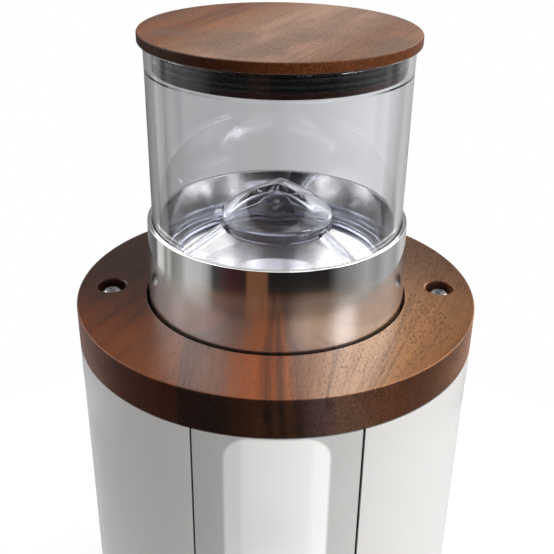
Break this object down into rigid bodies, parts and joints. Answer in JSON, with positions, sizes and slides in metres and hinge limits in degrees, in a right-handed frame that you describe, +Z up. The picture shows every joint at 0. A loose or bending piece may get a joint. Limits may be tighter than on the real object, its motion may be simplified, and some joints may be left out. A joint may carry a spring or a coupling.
{
  "type": "burr coffee grinder",
  "caption": "Electric burr coffee grinder: round white body with a wood ring, polished adjusting collar, clear bean hopper with wood lid, front spout, fork and catch tray.",
  "frame": {"origin": "on the surface the feet stand on, at the middle of the footprint's bounding box", "axes": "+Z up; -Y is the front, with the spout, fork and catch tray; +X is the user's right when facing the front"},
  "size_m": [0.17, 0.243, 0.4106],
  "materials": {
    "walnut_lid": "satin oiled walnut, end face",
    "walnut": "satin oiled walnut",
    "clear_hopper": "clear moulded plastic",
    "black_silicone": "soft matte",
    "polished_steel": "polished",
    "white_paint": "gloss white",
    "screw_steel": "turned",
    "cast_aluminium": "as cast",
    "machined_aluminium": "turned",
    "burr_steel": "ground and hardened",
    "brass": "turned",
    "spring_steel": "drawn wire",
    "zinc": "zinc plated",
    "rubber": "matte",
    "black_plastic": "fine moulded texture",
    "tray_steel": "brushed",
    "motor_paint": "satin black",
    "lamination": "stacked sheet",
    "circuit_board": "solder mask",
    "capacitor_case": "moulded"
  },
  "bodies": {
    "housing": {"wood_ring": "walnut", "ring_screw_left": "screw_steel", "ring_screw_right": "screw_steel", "ring_screw_rear": "screw_steel", "top_plate": "cast_aluminium", "side_shell_left": "white_paint", "side_shell_right": "white_paint", "front_panel": "white_paint", "rear_panel": "white_paint", "base_casting": "white_paint", "base_cover": "zinc", "foot_front_left": "rubber", "foot_front_right": "rubber", "foot_rear_left": "rubber", "foot_rear_right": "rubber", "chassis_post_front_left": "zinc", "chassis_post_front_right": "zinc", "chassis_post_rear_left": "zinc", "chassis_post_rear_right": "zinc", "burr_chamber": "machined_aluminium", "carrier_spring": "spring_steel", "chute": "black_plastic", "spout_housing": "white_paint", "spout_nozzle": "black_silicone", "fork_bracket": "zinc", "portafilter_fork": "polished_steel", "paddle_spring": "spring_steel", "micro_switch": "black_plastic", "power_switch_frame": "black_plastic", "iec_inlet": "black_plastic", "motor_top_cap": "cast_aluminium", "motor_housing": "motor_paint", "stator": "lamination", "motor_bottom_cap": "cast_aluminium", "upper_bearing": "burr_steel", "lower_bearing": "burr_steel", "capacitor": "capacitor_case", "control_board": "circuit_board"},
    "grind_collar": {"grind_collar": "polished_steel"},
    "upper_carrier": {"upper_burr_carrier": "brass", "upper_burr": "burr_steel"},
    "hopper": {"hopper": "clear_hopper", "bean_guard": "clear_hopper"},
    "lid": {"lid": "walnut_lid", "lid_seal": "black_silicone"},
    "drive": {"drive_shaft": "screw_steel", "rotor": "lamination", "cooling_fan": "black_plastic", "lower_burr_carrier": "machined_aluminium", "lower_burr": "burr_steel", "burr_nut": "zinc"},
    "switch_paddle": {"switch_paddle": "black_plastic"},
    "power_rocker": {"power_rocker": "black_plastic"},
    "catch_tray": {"catch_tray": "tray_steel"}
  },
  "joints": [
    {"name": "collar_turn", "type": "hinge", "parent": "housing", "child": "grind_collar", "pos_m": [0, 0.0335, 0.3], "axis": [0, 0, 1], "range_deg": [-160, 160]},
    {"name": "burr_advance", "type": "slide", "parent": "grind_collar", "child": "upper_carrier", "axis": [0, 0, 1], "range_m": [-0.0007, 0.0007], "deforming": ["carrier_spring"]},
    {"name": "hopper_lift", "type": "slide", "parent": "grind_collar", "child": "hopper", "axis": [0, 0, 1], "range_m": [0, 0.05]},
    {"name": "lid_lift", "type": "slide", "parent": "hopper", "child": "lid", "axis": [0, 0, 1], "range_m": [0, 0.06]},
    {"name": "drive_spin", "type": "hinge", "parent": "housing", "child": "drive", "pos_m": [0, 0.0335, 0.14], "axis": [0, 0, 1], "continuous": true},
    {"name": "paddle_press", "type": "slide", "parent": "housing", "child": "switch_paddle", "axis": [0, 1, 0], "range_m": [0, 0.004], "stiffness_N_per_m": 400, "springref_m": -0.003, "deforming": ["paddle_spring"]},
    {"name": "rocker_tilt", "type": "hinge", "parent": "housing", "child": "power_rocker", "pos_m": [0.055, -0.0705, 0.0185], "axis": [0, 0, 1], "range_deg": [0, 16]},
    {"name": "tray_lift", "type": "slide", "parent": "housing", "child": "catch_tray", "axis": [0, 0, 1], "range_m": [0, 0.03]}
  ],
  "couplings": [
    {"joint": "burr_advance", "follows": "collar_turn", "m_per_rad": 0.00023873}
  ]
}
